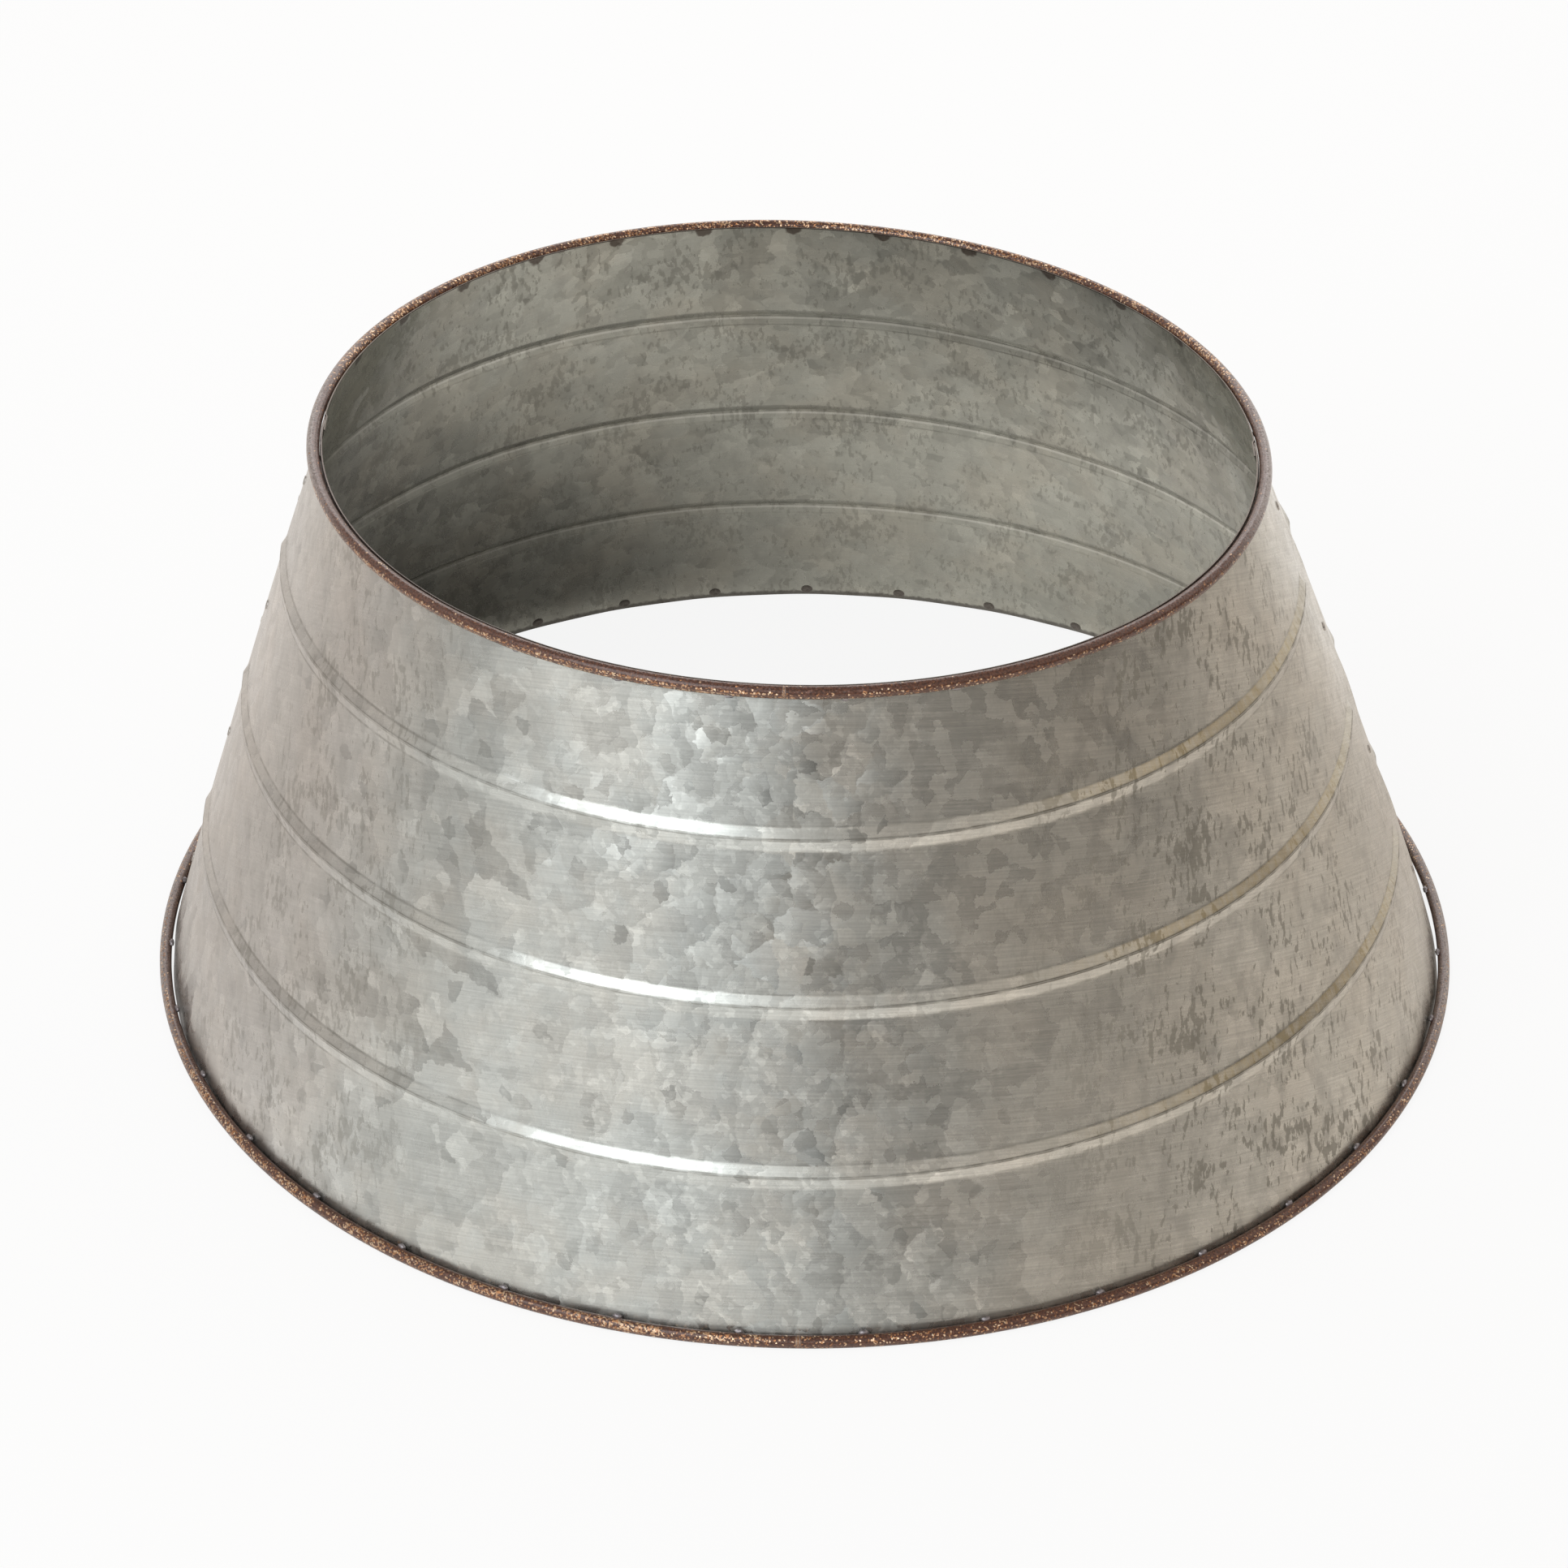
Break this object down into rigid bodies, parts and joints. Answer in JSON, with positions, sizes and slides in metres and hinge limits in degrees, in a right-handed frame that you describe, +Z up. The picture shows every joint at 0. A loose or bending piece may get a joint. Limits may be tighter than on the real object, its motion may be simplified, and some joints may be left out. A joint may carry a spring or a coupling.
{
  "type": "tree collar",
  "caption": "Open conical tree collar of galvanised sheet in lapped half-round panels, with raised beads rolled round it and a brown wire ring welded outside its top and bottom edges.",
  "frame": {"origin": "on the floor, at the middle of the bottom ring", "axes": "+Z up, the front faces -Y, the lapped seams lie at +X and -X"},
  "size_m": [0.6555, 0.6599, 0.2901],
  "materials": {
    "galvanised_sheet": "weathered galvanised zinc with spangle and fine rolling lines",
    "brown_paint": "rust-brown paint with fine copper flecks",
    "spot_weld": "dull grey spot weld"
  },
  "bodies": {
    "root": {"front_panel": "galvanised_sheet", "back_panel": "galvanised_sheet", "bottom_wire_ring": "brown_paint", "top_wire_ring": "brown_paint", "left_seam_weld_1": "spot_weld", "left_seam_weld_2": "spot_weld", "left_seam_weld_3": "spot_weld", "left_seam_weld_4": "spot_weld", "right_seam_weld_1": "spot_weld", "right_seam_weld_2": "spot_weld", "right_seam_weld_3": "spot_weld", "right_seam_weld_4": "spot_weld"}
  },
  "joints": []
}
